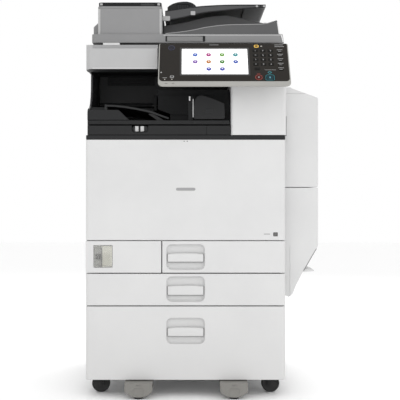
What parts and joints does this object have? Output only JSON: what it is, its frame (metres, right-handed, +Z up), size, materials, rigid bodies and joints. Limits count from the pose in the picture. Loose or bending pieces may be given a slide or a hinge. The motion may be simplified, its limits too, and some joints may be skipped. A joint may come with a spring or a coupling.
{
  "type": "photocopier",
  "caption": "Floor-standing colour photocopier with paper drawers, inner finisher, flat-bed scanner, document feeder lid, tilting panel and side bypass tray, on casters.",
  "frame": {"origin": "bottom centre of the whole object's box, on the floor", "axes": "+X to the operator's right, -Y towards the operator (the front), +Z up"},
  "size_m": [0.6916, 0.685, 1.187],
  "materials": {
    "white_cover": "fine-textured moulded ABS, slightly warm white",
    "dark_plastic": "fine-textured dark grey ABS",
    "grey_plastic": "fine-textured mid grey ABS",
    "silver_cover": "satin silver-grey moulded plastic",
    "frame_steel": "zinc-plated sheet",
    "panel_face": "glossy brownish black with a satin silver rim",
    "screen": "lit colour display behind glass",
    "black_rubber": "matt black",
    "stabiliser_plastic": "warm grey moulded plastic",
    "clear_plastic": "smoked translucent plastic",
    "glass": "clear platen glass",
    "start_key": "translucent teal key",
    "stop_key": "translucent red key",
    "home_key": "dark key with a pale ring",
    "toner_black": "black toner bottle",
    "toner_cyan": "cyan toner bottle",
    "toner_magenta": "magenta toner bottle",
    "toner_yellow": "yellow toner bottle"
  },
  "bodies": {
    "machine": {"base_plate": "frame_steel", "left_frame": "frame_steel", "right_frame": "frame_steel", "lower_shelf": "frame_steel", "engine_deck": "frame_steel", "top_deck": "dark_plastic", "left_cover": "white_cover", "right_cover": "white_cover", "rear_cover": "white_cover", "power_inlet": "black_rubber", "left_front_cover": "white_cover", "front_pillar": "white_cover", "output_liner": "dark_plastic", "output_tray": "grey_plastic", "finisher_body": "dark_plastic", "stapler_cover": "grey_plastic", "scanner_housing": "dark_plastic", "platen_glass": "glass", "scanner_front_cover": "silver_cover", "stabiliser_left": "stabiliser_plastic", "stabiliser_right": "stabiliser_plastic", "fusing_unit": "grey_plastic", "transfer_unit": "dark_plastic"},
    "front_door": {"front_door": "white_cover"},
    "drawer_1": {"drawer_1_front": "white_cover", "drawer_1_pan": "dark_plastic"},
    "drawer_2": {"drawer_2_front": "white_cover", "drawer_2_pan": "dark_plastic"},
    "drawer_3": {"drawer_3_front": "white_cover", "drawer_3_pan": "dark_plastic"},
    "switch_cover": {"switch_cover": "clear_plastic"},
    "power_switch": {"power_switch": "black_rubber"},
    "finisher_cover": {"finisher_cover": "dark_plastic"},
    "duplex_door": {"duplex_door": "white_cover"},
    "bypass_tray": {"bypass_tray": "white_cover"},
    "right_lower_door": {"right_lower_door": "white_cover"},
    "feeder": {"feeder_base": "silver_cover", "feeder_body": "silver_cover"},
    "feed_cover": {"feed_cover": "dark_plastic"},
    "original_tray": {"original_tray": "dark_plastic"},
    "guide_front": {"guide_front": "dark_plastic"},
    "guide_back": {"guide_back": "dark_plastic"},
    "panel": {"panel_housing": "panel_face", "touch_screen": "screen"},
    "keypad": {"keypad": "grey_plastic"},
    "start_button": {"start_button": "start_key"},
    "stop_button": {"stop_button": "stop_key"},
    "home_button": {"home_button": "home_key"},
    "toner_bottle_black": {"toner_bottle_black": "toner_black"},
    "toner_bottle_cyan": {"toner_bottle_cyan": "toner_cyan"},
    "toner_bottle_magenta": {"toner_bottle_magenta": "toner_magenta"},
    "toner_bottle_yellow": {"toner_bottle_yellow": "toner_yellow"},
    "caster_front_left_fork": {"caster_front_left_fork": "black_rubber"},
    "caster_front_left_wheel": {"caster_front_left_wheel": "black_rubber"},
    "caster_front_right_fork": {"caster_front_right_fork": "black_rubber"},
    "caster_front_right_wheel": {"caster_front_right_wheel": "black_rubber"},
    "caster_rear_left_fork": {"caster_rear_left_fork": "black_rubber"},
    "caster_rear_left_wheel": {"caster_rear_left_wheel": "black_rubber"},
    "caster_rear_right_fork": {"caster_rear_right_fork": "black_rubber"},
    "caster_rear_right_wheel": {"caster_rear_right_wheel": "black_rubber"}
  },
  "joints": [
    {"name": "front_door_hinge", "type": "hinge", "parent": "machine", "child": "front_door", "pos_m": [-0.05225, -0.2455, 0.4605], "axis": [1, 0, 0], "range_deg": [0, 90]},
    {"name": "drawer_1_slide", "type": "slide", "parent": "machine", "child": "drawer_1", "axis": [0, -1, 0], "range_m": [0, 0.42]},
    {"name": "drawer_2_slide", "type": "slide", "parent": "machine", "child": "drawer_2", "axis": [0, -1, 0], "range_m": [0, 0.42]},
    {"name": "drawer_3_slide", "type": "slide", "parent": "machine", "child": "drawer_3", "axis": [0, -1, 0], "range_m": [0, 0.44]},
    {"name": "switch_cover_hinge", "type": "hinge", "parent": "machine", "child": "switch_cover", "pos_m": [-0.29475, -0.2449, 0.3805], "axis": [1, 0, 0], "range_deg": [0, 95]},
    {"name": "power_switch_rocker", "type": "hinge", "parent": "machine", "child": "power_switch", "pos_m": [-0.31025, -0.2363, 0.411], "axis": [1, 0, 0], "range_deg": [0, 10]},
    {"name": "finisher_cover_hinge", "type": "hinge", "parent": "machine", "child": "finisher_cover", "pos_m": [-0.13125, -0.2435, 0.77], "axis": [1, 0, 0], "range_deg": [0, 90]},
    {"name": "duplex_door_hinge", "type": "hinge", "parent": "machine", "child": "duplex_door", "pos_m": [0.34525, 0.0455, 0.6175], "axis": [0, 1, 0], "range_deg": [0, 45]},
    {"name": "bypass_tray_hinge", "type": "hinge", "parent": "duplex_door", "child": "bypass_tray", "pos_m": [0.34275, 0.0445, 0.649], "axis": [0, 1, 0], "range_deg": [0, 75]},
    {"name": "right_lower_door_hinge", "type": "hinge", "parent": "machine", "child": "right_lower_door", "pos_m": [0.25975, 0.0455, 0.29], "axis": [0, 1, 0], "range_deg": [0, 35]},
    {"name": "feeder_hinge", "type": "hinge", "parent": "machine", "child": "feeder", "pos_m": [-0.04625, 0.3325, 1.042], "axis": [-1, 0, 0], "range_deg": [0, 70]},
    {"name": "feed_cover_hinge", "type": "hinge", "parent": "feeder", "child": "feed_cover", "pos_m": [-0.31225, 0.0245, 1.157], "axis": [0, -1, 0], "range_deg": [0, 80]},
    {"name": "original_tray_hinge", "type": "hinge", "parent": "feeder", "child": "original_tray", "pos_m": [-0.11425, 0.0245, 1.149], "axis": [0, -1, 0], "range_deg": [0, 25]},
    {"name": "guide_front_slide", "type": "slide", "parent": "original_tray", "child": "guide_front", "axis": [0, 1, 0], "range_m": [0, 0.11]},
    {"name": "guide_back_slide", "type": "slide", "parent": "original_tray", "child": "guide_back", "axis": [0, -1, 0], "range_m": [0, 0.11]},
    {"name": "panel_tilt", "type": "hinge", "parent": "machine", "child": "panel", "pos_m": [0.05875, -0.2235, 0.976], "axis": [1, 0, 0], "range_deg": [-20, 20]},
    {"name": "keypad_press", "type": "slide", "parent": "panel", "child": "keypad", "axis": [0, 0.8141, -0.5807], "range_m": [0, 0.0012], "stiffness_N_per_m": 600},
    {"name": "start_button_press", "type": "slide", "parent": "panel", "child": "start_button", "axis": [0, 0.8141, -0.5807], "range_m": [0, 0.0012], "stiffness_N_per_m": 600},
    {"name": "stop_button_press", "type": "slide", "parent": "panel", "child": "stop_button", "axis": [0, 0.8141, -0.5807], "range_m": [0, 0.0012], "stiffness_N_per_m": 600},
    {"name": "home_button_press", "type": "slide", "parent": "panel", "child": "home_button", "axis": [0, 0.8141, -0.5807], "range_m": [0, 0.0012], "stiffness_N_per_m": 600},
    {"name": "toner_bottle_black_spin", "type": "hinge", "parent": "machine", "child": "toner_bottle_black", "pos_m": [-0.25725, -0.0155, 0.7], "axis": [0, 1, 0], "continuous": true},
    {"name": "toner_bottle_cyan_spin", "type": "hinge", "parent": "machine", "child": "toner_bottle_cyan", "pos_m": [-0.16925, -0.0155, 0.7], "axis": [0, 1, 0], "continuous": true},
    {"name": "toner_bottle_magenta_spin", "type": "hinge", "parent": "machine", "child": "toner_bottle_magenta", "pos_m": [-0.08125, -0.0155, 0.7], "axis": [0, 1, 0], "continuous": true},
    {"name": "toner_bottle_yellow_spin", "type": "hinge", "parent": "machine", "child": "toner_bottle_yellow", "pos_m": [0.00675, -0.0155, 0.7], "axis": [0, 1, 0], "continuous": true},
    {"name": "caster_front_left_swivel", "type": "hinge", "parent": "machine", "child": "caster_front_left_fork", "pos_m": [-0.29325, -0.1715, 0.06], "axis": [0, 0, 1], "continuous": true},
    {"name": "caster_front_left_roll", "type": "hinge", "parent": "caster_front_left_fork", "child": "caster_front_left_wheel", "pos_m": [-0.30725, -0.1715, 0.027], "axis": [0, 1, 0], "continuous": true},
    {"name": "caster_front_right_swivel", "type": "hinge", "parent": "machine", "child": "caster_front_right_fork", "pos_m": [0.18875, -0.1715, 0.06], "axis": [0, 0, 1], "continuous": true},
    {"name": "caster_front_right_roll", "type": "hinge", "parent": "caster_front_right_fork", "child": "caster_front_right_wheel", "pos_m": [0.20275, -0.1715, 0.027], "axis": [0, 1, 0], "continuous": true},
    {"name": "caster_rear_left_swivel", "type": "hinge", "parent": "machine", "child": "caster_rear_left_fork", "pos_m": [-0.29325, 0.2845, 0.06], "axis": [0, 0, 1], "continuous": true},
    {"name": "caster_rear_left_roll", "type": "hinge", "parent": "caster_rear_left_fork", "child": "caster_rear_left_wheel", "pos_m": [-0.30725, 0.2845, 0.027], "axis": [0, 1, 0], "continuous": true},
    {"name": "caster_rear_right_swivel", "type": "hinge", "parent": "machine", "child": "caster_rear_right_fork", "pos_m": [0.18875, 0.2845, 0.06], "axis": [0, 0, 1], "continuous": true},
    {"name": "caster_rear_right_roll", "type": "hinge", "parent": "caster_rear_right_fork", "child": "caster_rear_right_wheel", "pos_m": [0.20275, 0.2845, 0.027], "axis": [0, 1, 0], "continuous": true}
  ],
  "couplings": [
    {"joint": "guide_back_slide", "follows": "guide_front_slide", "ratio": 1}
  ]
}
